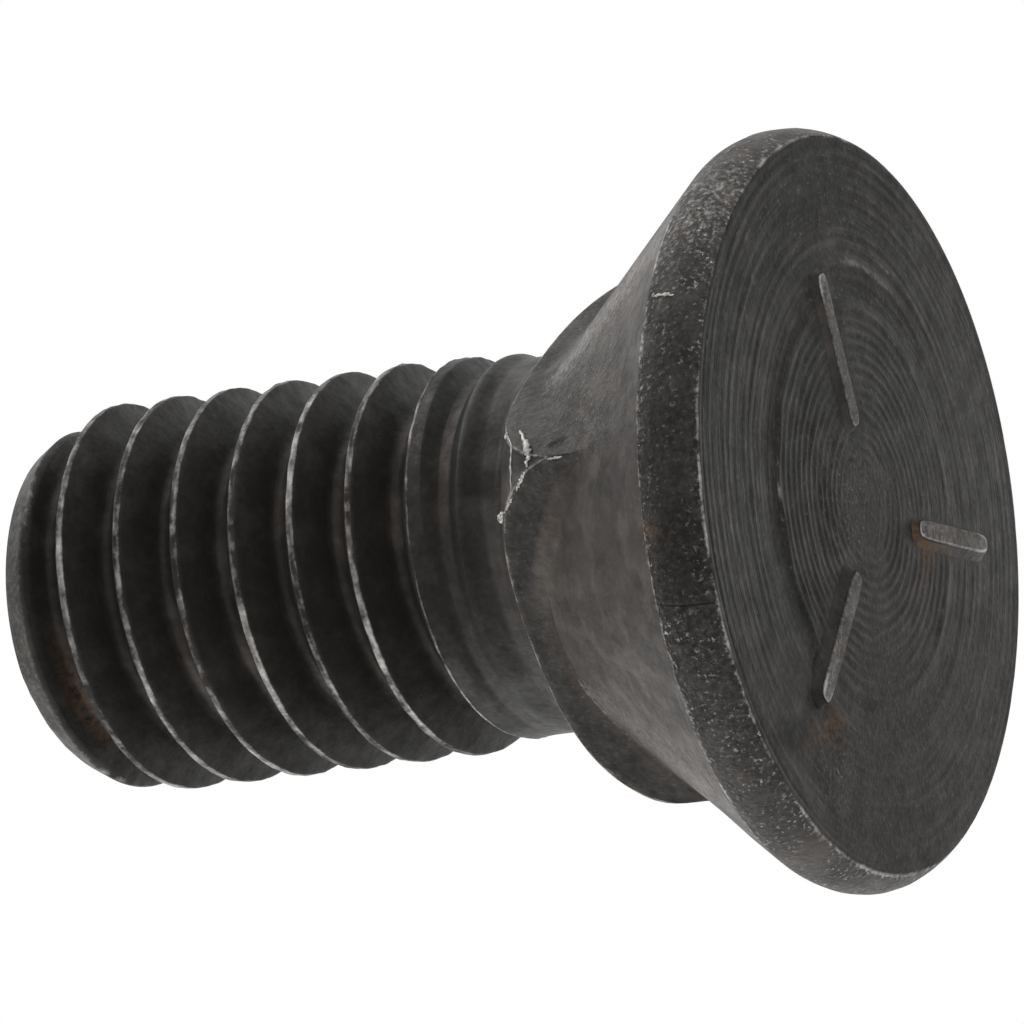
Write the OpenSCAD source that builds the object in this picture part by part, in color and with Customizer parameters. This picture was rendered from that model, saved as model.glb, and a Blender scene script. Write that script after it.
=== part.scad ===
// Plow bolt: a flat round countersunk head, a square neck under it and a short coarse-threaded shank.
// The origin is the centre of the head's flat face, with +Z along the shank towards the tip.
// Sizes are in millimetres, and angles in degrees.

/* [Head] */
// Diameter of the flat face
face_d = 20; // [17:0.1:26]
// Diameter of the countersink at its wide end
head_d = 20.3; // [17.3:0.1:26.3]
// Height of the rim, from the flat face to the countersink
rim_h = 1.69; // [0.8:0.01:3]
// How far the rounded rim stands out past its edges
rim_crown = 0.3; // [0.1:0.02:0.6]
// Included angle of the countersink under the head
countersink_angle = 81; // [70:1:90]

/* [Neck] */
// Width of the square neck across its flats
neck_side = 10.9; // [10.4:0.05:12]
// Diameter over the corners of the neck
neck_corner_d = 15.4; // [14.6:0.05:15.8]
// Length along the bolt of each flat at its middle, past the countersink
neck_land = 0.96; // [0.4:0.02:3]
// Radius of the rounded shoulder that ends the neck
shoulder_r = 2.96; // [1.5:0.02:3.4]

/* [Shank and thread] */
// Length of the whole bolt, from the flat face to the tip
bolt_length = 24.1; // [20:0.1:40]
// Diameter of the plain shank beside the neck
shank_d = 10.5; // [9.4:0.05:10.6]
// Length of the plain shank, from the neck to the middle of the groove's faded end
shank_len = 1.42; // [1:0.02:6]
// Length over which the shank swells to the full thread
swell_len = 1.4; // [0.3:0.05:2]
// Outside diameter of the thread
thread_d = 10.95; // [10.7:0.05:11.2]
// Distance from one thread crest to the next
thread_pitch = 1.814; // [1.2:0.002:2]
// Width of the flat on a thread crest
crest_w = 0.23; // [0.16:0.01:0.4]
// Width of the flat at the bottom of the thread's groove
root_w = 0.3; // [0.1:0.01:0.5]
// Turns over which the thread's groove fades out beside the neck
runout_turns = 0.6; // [0.25:0.05:1]
// Direction, about the axis, in which the groove ends
runout_angle = 117; // [0:1:359]
// Diameter of the flat end at the tip
tip_d = 9.3; // [8.4:0.05:10]
// Slope of the bevel at the tip, from the axis
tip_angle = 30; // [25:1:60]

/* [Hidden] */
$fn = 96;
// Colour of black-finished steel
steel = [0.2, 0.19, 0.185];
// Angle between the two flanks of the thread
flank_angle = 60;
// Steps of the rim's rounded outline
rim_steps = 8;
// Steps of the groove to a turn
groove_steps = 48;
// How far the groove's cutter stands out of the shank
cutter_proud = 0.1;

face_r = face_d / 2;
head_r = head_d / 2;
neck_r = neck_corner_d / 2;
shank_r = shank_d / 2;
thread_r = thread_d / 2;
tip_r = tip_d / 2;
countersink_tan = tan(countersink_angle / 2);
// The countersink runs on to the axis inside the neck and shank
countersink_end = rim_h + head_r / countersink_tan;
// Heights at which the countersink meets the middle of a flat, the neck ends and the thread starts
neck_start = rim_h + (head_r - neck_side / 2) / countersink_tan;
neck_end = neck_start + neck_land;
thread_start = neck_end + shank_len;
// The shank swells half a turn further on, under the first crest
swell_start = thread_start + thread_pitch / 2;
tip_bevel_h = (thread_r - tip_r) / tan(tip_angle);
// The groove narrows inwards along both flanks, from between the crests to the flat at its bottom
flank_tan = tan(flank_angle / 2);
groove_w = thread_pitch - crest_w;
thread_depth = (groove_w - root_w) / (2 * flank_tan);
cutter_w = groove_w + 2 * cutter_proud * flank_tan;
// The groove runs on past the tip
groove_count = ceil((bolt_length + thread_pitch - thread_start) / thread_pitch * groove_steps);

// A point of the rim's outline, which stands out furthest about half-way up
function rim_point(t) = [
    face_r + (head_r - face_r) * t + rim_crown * (1 - pow(2 * t - 1, 2)),
    rim_h * t
];

// Section of the head to one side of the axis: face, rounded rim and countersink
module head_section() {
    polygon(concat(
        [[0, 0]],
        [for (i = [0:rim_steps]) rim_point(i / rim_steps)],
        [[0, countersink_end]]
    ));
}

// Section of the round that the neck is squared from, with its rounded shoulder
module shoulder_section() {
    square([neck_r, neck_end - shoulder_r]);
    square([neck_r - shoulder_r, neck_end]);
    translate([neck_r - shoulder_r, neck_end - shoulder_r])
        intersection() {
            circle(shoulder_r);
            square(shoulder_r);
        }
}

// The square neck: four flats cut on the rounded shoulder
module neck() {
    intersection() {
        translate([-neck_side / 2, -neck_side / 2, 0])
            cube([neck_side, neck_side, neck_end]);
        rotate_extrude() shoulder_section();
    }
}

// Section of the shank before threading: plain length, swell, full thread diameter and bevelled tip
module shank_section() {
    polygon([
        [0, 0],
        [shank_r, 0],
        [shank_r, swell_start],
        [thread_r, swell_start + swell_len],
        [thread_r, bolt_length - tip_bevel_h],
        [tip_r, bolt_length],
        [0, bolt_length]
    ]);
}

// How far the cutter is lifted out of the shank at a step, so that the groove fades out
function groove_lift(i) =
    let (left = 1 - i / (runout_turns * groove_steps))
    pow(max(0, left), 2) * (thread_depth + cutter_proud);

// The cutter's four corners at a step along the helix
function groove_ring(i) =
    let (angle = runout_angle + 360 * i / groove_steps)
    let (z = thread_start + thread_pitch * i / groove_steps)
    let (root = thread_r - thread_depth + groove_lift(i))
    let (out = thread_r + cutter_proud + groove_lift(i))
    [for (p = [[root, -root_w], [out, -cutter_w], [out, cutter_w], [root, root_w]])
        [p[0] * cos(angle), p[0] * sin(angle), z + p[1] / 2]];

// Two triangles between side j of one ring and the next
function groove_side(i, j) =
    let (a = 4 * i + j, b = 4 * i + (j + 1) % 4)
    [[a, b, b + 4], [a, b + 4, a + 4]];

// The cutter of the right-hand thread groove
module groove() {
    last = 4 * groove_count;
    polyhedron(
        points = [for (i = [0:groove_count]) each groove_ring(i)],
        faces = concat(
            [[0, 2, 1], [0, 3, 2]],
            [for (i = [0:groove_count - 1], j = [0:3]) each groove_side(i, j)],
            [[last, last + 1, last + 2], [last, last + 2, last + 3]]
        )
    );
}

// The bolt, forged and threaded in one piece
module plow_bolt() {
    color(steel) {
        difference() {
            union() {
                rotate_extrude() head_section();
                neck();
                rotate_extrude() shank_section();
            }
            groove();
        }
    }
}

plow_bolt();
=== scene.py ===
# %% [markdown]
# # A forged plow bolt
# A plow bolt holds a wear plate to a digging tool. Its flat head sinks into a countersunk hole, the
# square neck stops it turning, and a coarse thread takes the nut. This lesson dresses the imported CAD
# bolt in Blender: one closed skin with its rolled thread, three raised strength lines, and a worn
# black-oxide finish. The frame is loaded first, and its box gives the head's radius and the bolt's length.

# %% Load the imported bolt
import math
from functools import reduce
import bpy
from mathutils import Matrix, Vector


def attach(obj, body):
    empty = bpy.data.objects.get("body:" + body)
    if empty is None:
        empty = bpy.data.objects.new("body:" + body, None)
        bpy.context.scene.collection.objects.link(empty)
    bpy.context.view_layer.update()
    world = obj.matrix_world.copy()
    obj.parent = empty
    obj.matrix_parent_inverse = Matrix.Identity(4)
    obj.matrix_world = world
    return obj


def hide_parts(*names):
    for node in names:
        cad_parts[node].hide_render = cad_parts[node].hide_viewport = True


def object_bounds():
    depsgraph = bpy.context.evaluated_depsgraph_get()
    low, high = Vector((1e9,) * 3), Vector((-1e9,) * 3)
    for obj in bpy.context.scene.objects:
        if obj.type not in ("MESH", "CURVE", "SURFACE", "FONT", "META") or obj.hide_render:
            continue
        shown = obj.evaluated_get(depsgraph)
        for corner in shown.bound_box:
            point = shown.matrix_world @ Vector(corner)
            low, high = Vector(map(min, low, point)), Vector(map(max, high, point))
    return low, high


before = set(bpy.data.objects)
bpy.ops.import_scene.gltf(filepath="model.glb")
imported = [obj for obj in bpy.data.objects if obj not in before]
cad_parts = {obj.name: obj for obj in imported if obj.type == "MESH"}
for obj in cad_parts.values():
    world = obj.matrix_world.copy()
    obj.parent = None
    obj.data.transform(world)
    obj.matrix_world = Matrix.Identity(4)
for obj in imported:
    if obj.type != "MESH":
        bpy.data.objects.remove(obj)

from types import SimpleNamespace

import bpy
import numpy as np
from mathutils import Quaternion, Vector

cad_low, cad_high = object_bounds()
print("CAD box in mm:", [round(1000 * v, 2) for v in (*cad_low, *cad_high)])

# %% [markdown]
# ## Camera
# The picture was taken from the head's side with a long lens, so lines that run side by side stay
# nearly so. A camera could be placed by eye, but the head's two ellipses, the rim and the thread
# crests fix it well: eye, aim and roll below come from fitting them. The bolt lies on its side in
# the picture while it stands on its head in the frame, so the camera is rolled.

# %% Place the camera
MM = 0.001
EYE = Vector((-175.715, -90.954, -89.904)) * MM
AIM = Vector((0.996, -0.664, 10.848)) * MM
ROLL = math.radians(-97.525)
LENS = 284.603

camera = bpy.data.objects.new("camera", bpy.data.cameras.new("camera"))
camera.data.sensor_width = 36
camera.data.lens = LENS
camera.data.clip_start = 0.01
camera.rotation_mode = "QUATERNION"
camera.location = EYE
camera.rotation_quaternion = (AIM - EYE).to_track_quat("-Z", "Y") @ Quaternion((0, 0, 1), ROLL)
bpy.context.collection.objects.link(camera)
bpy.context.scene.camera = camera
bpy.context.scene.view_settings.view_transform = "Standard"
print("camera", round((AIM - EYE).length / MM, 1), "mm from the bolt")

# %% [markdown]
# ## Sizes
# The skin follows the CAD solid, so its sizes are the same driving dimensions. The head's radius and
# the bolt's length are read from the frame. Everything else is in millimetres and becomes metres
# only when a mesh is made.

# %% Sizes of the head, neck and shank
RIM_BULGE = 0.375
RIM_CROWN = 0.3
FACE_R = cad_high.x / MM - RIM_BULGE
HEAD_R = FACE_R + 0.15
LENGTH = cad_high.z / MM
RIM_H = 1.69
CONE_TAN = math.tan(math.radians(40.5))
NECK_HALF = 5.45
NECK_R = 7.7
NECK_LAND = 0.96
SHOULDER_R = 2.96
SHANK_R = 5.17

neck_start = RIM_H + (HEAD_R - NECK_HALF) / CONE_TAN
neck_end = neck_start + NECK_LAND
arc_r = NECK_R - SHOULDER_R
arc_z = neck_end - SHOULDER_R
print("neck from", round(neck_start, 2), "to", round(neck_end, 2), "mm above the face")

# %% Sizes of the thread
THREAD_R = 5.475
PITCH = 1.814
CREST_W = 0.2
ROOT_W = 0.3
THREAD_DEPTH = 1.12
GROOVE_ANGLE = math.radians(117)
RUNOUT_TURNS = 1.05
TIP_R = 4.65
TIP_TAN = math.tan(math.radians(30))

groove_z = neck_end + 1.42
print("thread", THREAD_DEPTH, "mm deep, faded out at", round(groove_z, 2), "mm above the face")

# %% [markdown]
# ## Columns round the bolt
# The skin is a grid: columns are directions about the axis, rows follow the profile from the centre
# of the face to the tip. An even spread of columns would blur the square's corners, so a few extra
# columns stand close to each corner, where the form turns quickly.

# %% Directions of the columns
EVEN_COLUMNS = 208
CORNERS = np.radians([45, 135, 225, 315])
CORNER_STEPS = np.array([-0.011, -0.0045, 0.0045, 0.011])

even = np.arange(EVEN_COLUMNS) * (2 * np.pi / EVEN_COLUMNS)
close = (CORNERS[:, None] + CORNER_STEPS).ravel()
columns = np.sort(np.concatenate([even, close]))
N = len(columns)
print(N, "columns")


# %% [markdown]
# ## Unevenness
# A forged and rolled part is never quite even. A sum of cosines with whole numbers of waves round
# the bolt closes on itself, which plain noise would not, and a seeded generator draws the same
# waves each time. Smooth steps and bells then say where a form or a mark begins, ends or is strongest.

# %% A ripple that closes round the bolt
def ripple(angle, height, seed, most_waves, fall=1.0, count=28):
    """Sum of count cosines of (whole waves x angle + wave x height + phase), each weighted by its
    waves to the power of -fall / 2, scaled to about -1 to 1."""
    draw = np.random.default_rng(seed)
    waves = draw.integers(1, most_waves + 1, count)
    rise = draw.normal(0, most_waves / 8, count)
    phase = draw.uniform(0, 2 * np.pi, count)
    weight = waves ** (-fall / 2.0)
    total = np.zeros(np.broadcast(angle, height).shape)
    for w, k, p, a in zip(waves, rise, phase, weight):
        total += a * np.cos(w * angle + k * height + p)
    return total / np.sqrt(np.sum(weight ** 2))


span = ripple(columns, 0 * columns, 1, 12)
print("a ripple runs from", round(float(span.min()), 2), "to", round(float(span.max()), 2))


# %% Smooth steps and bells
def step(low, high, value):
    """Smooth step: 0 below low, 1 above high, and 3t^2 - 2t^3 of the share t between them."""
    share = np.clip((value - low) / (high - low), 0, 1)
    return share * share * (3 - 2 * share)


def band(start, full, leave, end, value):
    """A smooth step up from start to full, times one down from leave to end."""
    return step(start, full, value) * (1 - step(leave, end, value))


def hill(value, middle, spread):
    """A bell: e to the power of minus the square of (value - middle) / spread, so 1 at the middle."""
    return np.exp(-((value - middle) / spread) ** 2)


def most(*values):
    """The largest of several values at each place."""
    return reduce(np.maximum, values)


print("a bell is", round(float(hill(1, 0, 1)), 2), "at one spread from its middle")

# %% [markdown]
# ## The face
# The face was turned on a lathe, which leaves rings: coarse ones inside, a raised ring with a shallow
# channel round it, then finer ones to the edge. They could be a bump in the material alone, but at
# this size they catch the light, so the coarse ones are real relief and the material adds fine ones.

# %% Places of the strength lines and the dent
LINE_W = 0.50
LINE_ENDS = np.array([
    [(0.86, -1.98), (1.83, -6.09)],
    [(-2.05, 1.02), (-6.23, 2.35)],
    [(2.29, 2.11), (5.78, 4.71)],
])
DENT = np.array([-7.2, 3.15])
DENT_R = 1.55


def line_gap(x, y):
    """Distance to the nearest strength line: to the nearest point between its two ends."""
    here = np.stack([x, y], -1)
    gaps = []
    for start, end in LINE_ENDS:
        share = np.clip((here - start) @ (end - start) / np.sum((end - start) ** 2), 0, 1)
        gaps.append(np.linalg.norm(here - start - share[..., None] * (end - start), axis=-1))
    return np.min(gaps, axis=0)


def dent_share(x, y):
    """1 at the middle of the round dent, falling to 0 at its edge, steeper on the side of the axis."""
    far = np.hypot(x - DENT[0], y - DENT[1]) / DENT_R
    inward = step(-0.3, 1.2, (DENT[0] - x) * DENT[0] + (DENT[1] - y) * DENT[1])
    return np.clip(1 - far ** (2 + 1.5 * inward), 0, 1)


def seen_axes(x, y):
    """Places on the face along two axes, to the right and upwards as the picture shows it."""
    return 0.888 * x + 0.460 * y, 0.460 * x - 0.888 * y


print("dent", np.round(seen_axes(*DENT), 2), "mm to the right of the centre and above it, as seen")

# %% Turned rings
RIDGE_RING = 5.35
RING_STEP = 0.31
OUTER_STEPS = (0.41, 0.295)


def bell(angle, degrees, spread):
    """1 in a direction about the axis, falling off as a bell over a spread in radians."""
    gap = np.remainder(angle - math.radians(degrees) + np.pi, 2 * np.pi) - np.pi
    return hill(gap, 0, spread)


def uneven_radius(radius, angle):
    """The radius, shifted a little round the face, because the rings are not quite round."""
    return radius + 0.045 * ripple(angle, 0 * radius, 11, 7) + 0.05 * np.cos(angle - 2.0) * radius / 5


def turned_rings(radius, angle):
    """0 to 1 across the rings: a cosine of the radius inside the raised ring, and two cosines of
    different steps added outside it, both squared so that the crests are narrow."""
    wavy = uneven_radius(radius, angle)
    inside = 0.5 + 0.5 * np.cos(2 * np.pi * wavy / RING_STEP)
    outside = 0.5 + 0.3 * np.cos(2 * np.pi * wavy / OUTER_STEPS[0])
    outside = outside + 0.25 * np.cos(2 * np.pi * wavy / OUTER_STEPS[1] + 1)
    return np.where(radius < RIDGE_RING - 0.2, inside, np.clip(outside, 0, 1)) ** 2


print("rings are", RING_STEP, "mm apart inside the raised ring, and", OUTER_STEPS, "mm outside it")

# %% Relief of the face
FACE_EDGE = 0.07
INNER_RING_H = 0.042
OUTER_RING_H = 0.022
RIDGE_RING_H = 0.06
CHANNEL_DEPTH = 0.05
ARC_H = 0.045
EDGE_GROOVE_DEPTH = 0.03
DENT_DEPTH = 0.08


def face_relief(radius, angle):
    """Height of the face above its plane: the rings, weaker on one side and low on the face, a raised ring
    with a channel outside it, two short arcs, a groove near the edge and one round dent."""
    x, y = radius * np.cos(angle), radius * np.sin(angle)
    wavy = uneven_radius(radius, angle)
    inner = 1 - step(4.9, 5.25, radius)
    patchy = np.clip(0.75 + 0.45 * ripple(angle, radius * 3, 13, 16, 0.6), 0.1, 1.6)
    patchy = patchy * (1 - 0.8 * bell(angle, 5, 0.75)) * step(0.6, 2.4, radius)
    upward = seen_axes(x, y)[1]
    patchy = patchy * (1 - 0.6 * step(2.6, 4.6, -upward))
    rings = np.where(inner > 0.5, INNER_RING_H * inner, OUTER_RING_H) * patchy * turned_rings(radius, angle)
    ridge = RIDGE_RING_H * hill(wavy, RIDGE_RING, 0.10) * patchy
    channel = -CHANNEL_DEPTH * band(5.45, 5.7, 6.1, 6.5, wavy) * (1 - 0.7 * bell(angle, 30, 1.1))
    arc = bell(angle, 305, 0.34) * hill(wavy, 6.55, 0.14)
    arc = arc + 0.7 * bell(angle, 320, 0.6) * hill(wavy, 7.05, 0.10)
    groove = hill(radius, FACE_R - 0.24, 0.05) * bell(angle, 200, 0.9)
    clear = step(0.5, 0.9, line_gap(x, y))
    raised = (rings + ridge + channel + ARC_H * arc) * clear
    return raised - EDGE_GROOVE_DEPTH * groove - DENT_DEPTH * dent_share(x, y)


EDGE_RINGS = FACE_R - np.array([0.30, 0.27, 0.24, 0.21, 0.17, FACE_EDGE])
face_r = np.concatenate([np.linspace(0, 5.3, 76), np.linspace(5.38, 9.62, 52), EDGE_RINGS])
print(len(face_r), "rings on the face")


# %% [markdown]
# ## Head, neck and shank
# Under the rim the countersink runs down to a square neck, whose corners are rounded over onto the
# shank by a lathe-like shoulder. One way is a union of a cone and a box with bevels. Here each
# column simply carries its own profile: where the cone meets the flat, and the flat meets the
# shoulder, depends on how far away the square is in that direction. Short curves round every turn.

# %% Profile stretches
def straight(a, b, rows):
    """Rows of (radius, height) spaced evenly from a to just before b."""
    share = np.arange(rows)[:, None, None] / rows
    return a + (b - a) * share


def bend(a, corner, b, rows):
    """Rows on the quadratic curve that leaves a towards the corner and arrives at b, without b."""
    t = np.arange(rows)[:, None, None] / rows
    return (1 - t) ** 2 * a + 2 * t * (1 - t) * corner + t * t * b


def point(radius, height):
    """A profile point for every column, as a 2 by N array of radii and heights."""
    return np.stack([np.broadcast_to(radius, N), np.broadcast_to(height, N)]).astype(float)


def toward(a, b, distance):
    """The point at a distance from a on the way to b."""
    gap = b - a
    return a + gap * (distance / np.hypot(*gap))


half_way = bend(point(1, 0), point(1, 1), point(0, 1), 2)[1, :, 0]
print("half-way round a corner of 1 mm, a bend is at", half_way)


# %% The rounded rim
def rim_radius(rise, angle):
    """From the face's edge to the countersink's, the rim stands out as a parabola of its height. It is
    a little fuller on one side, and uneven."""
    bulge = 1 - (2 * rise - 1) ** 2
    fuller = 0.05 * np.cos(angle - math.radians(117)) + 0.010 * ripple(angle, rise * 3, 17, 40, 0.5)
    return FACE_R + (HEAD_R - FACE_R) * rise + (RIM_CROWN - 0.02 + fuller) * bulge


print("rim is", round(float(rim_radius(0.5, columns).max()), 2), "mm in radius where it is fullest")

# %% Turning points of the profile
from_corner = np.remainder(columns, np.pi / 2) - np.pi / 4
square_r = np.minimum(NECK_HALF / np.cos(np.pi / 4 - np.abs(from_corner)), NECK_R)


def shoulder_height(radius):
    """Height of the rounded shoulder at a radius: a circular arc."""
    return arc_z + np.sqrt(np.maximum(SHOULDER_R ** 2 - (radius - arc_r) ** 2, 0))


CHIP_DEPTH = 0.035
PLAIN_TOP = 8.45

chips = CHIP_DEPTH * np.clip(ripple(columns, 0 * columns, 19, 60, 0.2) - 0.4, 0, 1.2)
face_end = point(FACE_R - chips, 0)
rim_end = point(HEAD_R, RIM_H)
cone_end = point(square_r, RIM_H + (HEAD_R - square_r) / CONE_TAN)
flat_end = point(square_r, shoulder_height(square_r))
shank_start = point(SHANK_R, shoulder_height(np.full(N, SHANK_R)))
plain_top = point(SHANK_R, PLAIN_TOP)
print("flats are", round(float((flat_end - cone_end)[1].min()), 2), "mm long at the shortest")

# %% Rows of the face and rim
face_rows = point(0, 0) + 0 * face_r[:, None, None]
face_rows[:, 0] = face_r[:, None]
face_rows[:, 1] = -face_relief(face_rows[:, 0], columns)

edge_in = point(FACE_R - FACE_EDGE, 0) - point(0.3 * chips, 0)
rim_rise = np.linspace(0.035, 0.965, 15)[:, None]
rim_rows = np.stack([rim_radius(rim_rise, columns), RIM_H * rim_rise + 0 * columns], 1)
print(len(face_rows), "rows on the face and", len(rim_rows), "on the rim")


# %% Edges of the flats
LIP_OUT = 0.11
LIP_LENGTH = 0.40


def lip_share(angle):
    """1 on the half of one flat where metal has been pushed over the flat's edge, 0 elsewhere."""
    return band(3.21, 3.63, 3.83, 3.91, angle)


def broad_share(angle):
    """0 on that flat and 1 on the other three, whose edges run softly into the countersink."""
    return 1 - band(2.25, 2.35, 3.84, 3.95, angle)


lip = lip_share(columns)
broad_blend = broad_share(columns)
cone_in = toward(rim_end, cone_end, 0.10)
fillet_in = toward(cone_end, rim_end, 0.30 + 0.9 * broad_blend)
lip_top = cone_end + point(LIP_OUT * lip, 0)
lip_foot = toward(cone_end, flat_end, 0.14 + LIP_LENGTH * lip)
fillet_out = toward(lip_foot, flat_end, 0.10 + 0.22 * broad_blend)
lip_top = lip_top + ((fillet_in + cone_end) / 2 - lip_top) * broad_blend
lip_foot = lip_foot + ((cone_end + fillet_out) / 2 - lip_foot) * broad_blend
lip_side = (lip_top + lip_foot) / 2
print("the lip stands out on", int((lip > 0.5).sum()), "columns")

# %% Rows of the countersink and shoulder
CONE_DIP = 0.07

round_in = toward(flat_end, cone_end, 0.07)
arc_from = np.arcsin(np.clip((square_r - arc_r) / SHOULDER_R, -1, 1))
arc_to = math.asin((SHANK_R - arc_r) / SHOULDER_R)
arc_share = np.linspace(0.0, 1.0, 12)[:, None]
arc_round = np.minimum(0.03, 0.2 * (arc_from - arc_to))
arc_hollow = np.minimum(0.09, 0.4 * (arc_from - arc_to))
arc_turn = (arc_from - arc_round) * (1 - arc_share) + (arc_to + arc_hollow) * arc_share
arc_rows = np.stack([arc_r + SHOULDER_R * np.sin(arc_turn), arc_z + SHOULDER_R * np.cos(arc_turn)], 1)
shank_in = point(SHANK_R, shoulder_height(SHANK_R) + 0.15)

cone_rows = straight(cone_in, fillet_in, 30)
past = from_corner - 0.035 * step(0, 1, 5 - cone_rows[:, 1])
dip = band(-0.03, 0.02, 0.05, 0.30, past)
cone_rows[:, 0] -= CONE_DIP * dip * step(2.4, 3.4, cone_rows[:, 1])
print("the countersink dips", CONE_DIP, "mm beside each corner of the neck")

# %% All rows of the head and neck
head_rows = np.concatenate([
    face_rows,
    bend(edge_in, face_end, rim_rows[0], 4)[1:],
    rim_rows[:-1],
    bend(rim_rows[-1], rim_end, cone_in, 4),
    cone_rows,
    bend(fillet_in, lip_top, lip_side, 5),
    bend(lip_side, lip_foot, fillet_out, 5),
    straight(fillet_out, round_in, 4),
    bend(round_in, flat_end, arc_rows[0], 3),
    arc_rows[:-1],
    bend(arc_rows[-1], shank_start, shank_in, 4),
    straight(shank_in, plain_top, 2),
    plain_top[None],
])
print(head_rows.shape[0], "rows from the face to the plain shank")


# %% [markdown]
# ## The rolled thread
# A thread is rolled between dies, so it is one groove pressed along a helix, with a rounded bottom
# and thin crests, and it fades out beside the neck. A Screw modifier could sweep a profile, but the
# run-out and the bevelled tip need the groove's depth to change along the way. So the skin is a
# radius worked out from direction and height, sampled on rows that climb with the helix and stay on
# the crest's two edges, even where the crest is still wide.

# %% Turns of the groove
def lower(a, b, soft):
    """The smaller of a and b, rounded over a width soft where they cross."""
    share = np.clip(0.5 + 0.5 * (b - a) / soft, 0, 1)
    return b + (a - b) * share - soft * share * (1 - share)


def groove_turns(angle, height):
    """Turns from the groove's faded end to a point, and its distance in mm from the groove's middle."""
    turns = (height - groove_z) / PITCH - (angle - GROOVE_ANGLE) / (2 * np.pi)
    across = turns - np.round(turns)
    return (height - groove_z) / PITCH - across, across * PITCH


print("the tip is", round(float(groove_turns(0, LENGTH)[0]), 2), "turns from the groove's faded end")


# %% The shank before the groove
RIDGE_H = 0.15
SWELL_START = 10.0
SWELL_END = 12.3


def first_turn(angle, height):
    """The share of the groove's first turn at a direction, and how far a point stands above that turn."""
    turn = np.remainder(angle - GROOVE_ANGLE, 2 * np.pi) / (2 * np.pi)
    return turn, height - groove_z - 0.15 - PITCH * turn


def blank_radius(angle, height):
    """The shank swells to the thread's radius between two heights. A low ridge, pushed up by the end
    of the rolling die, follows the groove's first turn on the head's side and fades at both ends."""
    turn, beside = first_turn(angle, height)
    swell = step(SWELL_START, SWELL_END, height)
    ridge = RIDGE_H * band(0.02, 0.2, 0.7, 0.95, turn) * step(-1.25, -0.92, beside)
    nicks = 0.014 * ripple(angle, height * 3.46, 5, 60, 0.3) * step(9.8, 10.6, height)
    return SHANK_R + (THREAD_R - SHANK_R) * swell + ridge * (1 - swell) + nicks - 0.006


print("the shank swells from", SHANK_R, "to", THREAD_R, "mm in radius")

# %% Radius of the threaded shank
FADED_HALF = 0.42


def groove_half(turn):
    """Half the groove's width, which grows with the turns from its faded end."""
    return FADED_HALF + (PITCH / 2 - CREST_W / 2 - FADED_HALF) * np.clip(turn / RUNOUT_TURNS, 0, 1)


def shank_radius(angle, height):
    """The blank, less the groove: its depth and width grow with the turns from its end, its section is
    a flat bottom with straight flanks rounded where they meet, and the tip's bevel cuts it all."""
    turn, off = groove_turns(angle, height)
    grown = np.clip(turn / RUNOUT_TURNS, 0, 1)
    half = groove_half(turn)
    share = lower((half - np.abs(off)) / (half - ROOT_W / 2), 1 + 0 * off, 0.16)
    blank = blank_radius(angle, height)
    cut = blank - THREAD_DEPTH * grown ** 1.15 * share
    return lower(lower(blank, cut, 0.035), TIP_R + (LENGTH - height) * TIP_TAN, 0.04)


print("the whole groove is", round(float(2 * groove_half(RUNOUT_TURNS)), 2), "mm wide at the crests")

# %% Grid of the thread
ACROSS = np.array([0, 0.05, 0.085, 0.115, 0.16, 0.25, 0.38, 0.52, 0.64, 0.73, 0.81])
across = np.concatenate([-ACROSS[:0:-1], ACROSS, [PITCH / 2]])
ROWS = len(across)
TURNS = np.arange(-3, 11)
crest_zero = groove_z + PITCH / 2 - PITCH * GROOVE_ANGLE / (2 * np.pi)
crest_turn = TURNS[:, None, None] + (columns - GROOVE_ANGLE) / (2 * np.pi)
flat_half = PITCH / 2 - groove_half(np.where(across[:, None] < 0, crest_turn, crest_turn + 1))
from_crest = np.abs(across)[:, None]
outside = flat_half + (from_crest - CREST_W / 2) / (PITCH - CREST_W) * (PITCH - 2 * flat_half)
on_crest = from_crest / CREST_W * 2 * flat_half
spread = np.sign(across)[:, None] * np.where(from_crest < CREST_W / 2, on_crest, outside)
thread_z = crest_zero + PITCH * TURNS[:, None, None] + PITCH * columns / (2 * np.pi) + spread
thread_z = thread_z.reshape(-1, N)
on_shank = (thread_z > PLAIN_TOP) & (thread_z < LENGTH)
thread_r = shank_radius(columns, np.clip(thread_z, PLAIN_TOP, LENGTH))
print(int(on_shank.sum()), "points on the thread,", ROWS, "to a pitch")

# %% Rows of the flat end
END_SHARES = np.array([1, 0.985, 0.95, 0.85, 0.7, 0.5, 0.3, 0.12, 0])[:, None]
END_WAVE = 0.012

tip_ring = shank_radius(columns, np.full(N, LENGTH))
tip_rows = np.stack([END_SHARES * tip_ring, np.full((len(END_SHARES), N), LENGTH)], 1)
tip_rows[1:, 1] += END_WAVE * ripple(columns, END_SHARES[1:] * 6, 21, 5) * (END_SHARES[1:] < 0.96)
print("the flat end is", round(float(tip_ring.mean()), 2), "mm in radius")


# %% [markdown]
# ## One closed skin
# Face, neck, thread and end are sewn into one mesh. The rows of the thread that lie below the plain
# shank or past the tip all collapse onto the ring there, so cells with two equal corners become
# triangles and cells with nothing left are dropped. Both poles are single points.

# %% Sew the grids together
def polar(rows):
    """Points from rows of (radius, height): x and y on the column's direction, z the height."""
    radius, height = rows[:, 0], rows[:, 1]
    return np.stack([radius * np.cos(columns), radius * np.sin(columns), height], -1).reshape(-1, 3)


def cells(a, b):
    """Four-cornered cells between the columns of indices a and those of b, one row on."""
    return np.stack([a[:-1], b[:-1], b[1:], a[1:]], -1).reshape(-1, 4)


def grid_cells(index):
    """Cells of a grid of indices that closes round the bolt."""
    return cells(index, np.roll(index, -1, axis=1))


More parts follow.
